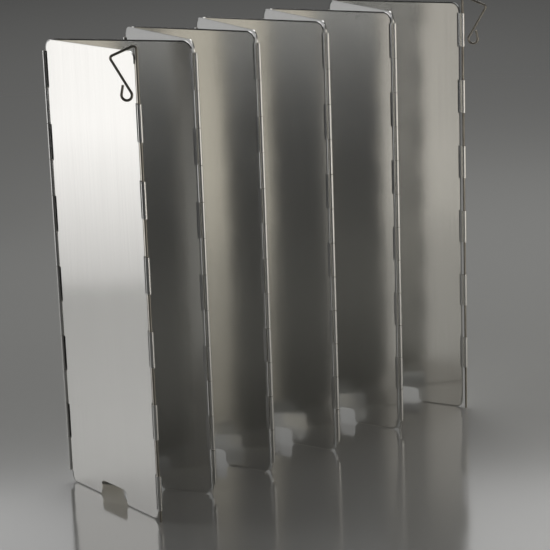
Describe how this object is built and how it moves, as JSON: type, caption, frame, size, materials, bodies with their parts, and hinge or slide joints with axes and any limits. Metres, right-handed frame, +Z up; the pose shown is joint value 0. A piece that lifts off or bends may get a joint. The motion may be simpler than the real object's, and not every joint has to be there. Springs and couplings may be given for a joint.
{
  "type": "folding stove windscreen",
  "caption": "Folding camp stove windscreen: aluminium panels hinged on wire pins, standing in a zigzag, with notched feet and a hooked anchor pin at each free end.",
  "frame": {"origin": "on the ground, under the middle of the half-folded screen", "axes": "+Z up, +X along the front hinges from the left free end to the right one, +Y to the back hinges"},
  "size_m": [0.2566, 0.1013, 0.2435],
  "materials": {
    "aluminium_sheet": "bare mill finish",
    "hinge_wire": "drawn wire",
    "anchor_wire": "drawn wire"
  },
  "bodies": {
    "panel_1": {"panel_1": "aluminium_sheet"},
    "panel_2": {"panel_2": "aluminium_sheet", "hinge_pin_1": "hinge_wire"},
    "panel_3": {"panel_3": "aluminium_sheet", "hinge_pin_2": "hinge_wire"},
    "panel_4": {"panel_4": "aluminium_sheet", "hinge_pin_3": "hinge_wire"},
    "panel_5": {"panel_5": "aluminium_sheet", "hinge_pin_4": "hinge_wire", "hinge_pin_5": "hinge_wire"},
    "panel_6": {"panel_6": "aluminium_sheet", "hinge_pin_6": "hinge_wire"},
    "panel_7": {"panel_7": "aluminium_sheet", "hinge_pin_7": "hinge_wire"},
    "panel_8": {"panel_8": "aluminium_sheet", "hinge_pin_8": "hinge_wire"},
    "panel_9": {"panel_9": "aluminium_sheet", "hinge_pin_9": "hinge_wire"},
    "panel_10": {"panel_10": "aluminium_sheet"},
    "anchor_pin_left": {"anchor_pin_left": "anchor_wire"},
    "anchor_pin_right": {"anchor_pin_right": "anchor_wire"}
  },
  "joints": [
    {"name": "hinge_1", "type": "hinge", "parent": "panel_2", "child": "panel_1", "pos_m": [-0.11113, 0.04488, 0.12], "axis": [0, 0, -1], "range_deg": [-28.2, 169.8]},
    {"name": "hinge_2", "type": "hinge", "parent": "panel_3", "child": "panel_2", "pos_m": [-0.07562, -0.03125, 0.12], "axis": [0, 0, 1], "range_deg": [-37.7, 160.3]},
    {"name": "hinge_3", "type": "hinge", "parent": "panel_4", "child": "panel_3", "pos_m": [-0.05316, 0.0497, 0.12], "axis": [0, 0, -1], "range_deg": [-26.7, 171.3]},
    {"name": "hinge_4", "type": "hinge", "parent": "panel_5", "child": "panel_4", "pos_m": [-0.03283, -0.03181, 0.12], "axis": [0, 0, 1], "range_deg": [-31.2, 166.8]},
    {"name": "hinge_5", "type": "hinge", "parent": "panel_5", "child": "panel_6", "pos_m": [-0.00408, 0.04712, 0.12], "axis": [0, 0, 1], "range_deg": [-30.2, 167.8]},
    {"name": "hinge_6", "type": "hinge", "parent": "panel_6", "child": "panel_7", "pos_m": [0.01483, -0.03472, 0.12], "axis": [0, 0, -1], "range_deg": [-30.7, 167.3]},
    {"name": "hinge_7", "type": "hinge", "parent": "panel_7", "child": "panel_8", "pos_m": [0.04426, 0.04396, 0.12], "axis": [0, 0, 1], "range_deg": [-31.7, 166.3]},
    {"name": "hinge_8", "type": "hinge", "parent": "panel_8", "child": "panel_9", "pos_m": [0.06459, -0.03755, 0.12], "axis": [0, 0, -1], "range_deg": [-32.2, 165.8]},
    {"name": "hinge_9", "type": "hinge", "parent": "panel_9", "child": "panel_10", "pos_m": [0.09471, 0.04087, 0.12], "axis": [0, 0, 1], "range_deg": [-35.7, 162.3]},
    {"name": "anchor_left_slide", "type": "slide", "parent": "panel_1", "child": "anchor_pin_left", "axis": [0, 0, 1], "range_m": [-0.025, 0.2]},
    {"name": "anchor_right_slide", "type": "slide", "parent": "panel_10", "child": "anchor_pin_right", "axis": [0, 0, 1], "range_m": [-0.006, 0.2]}
  ]
}
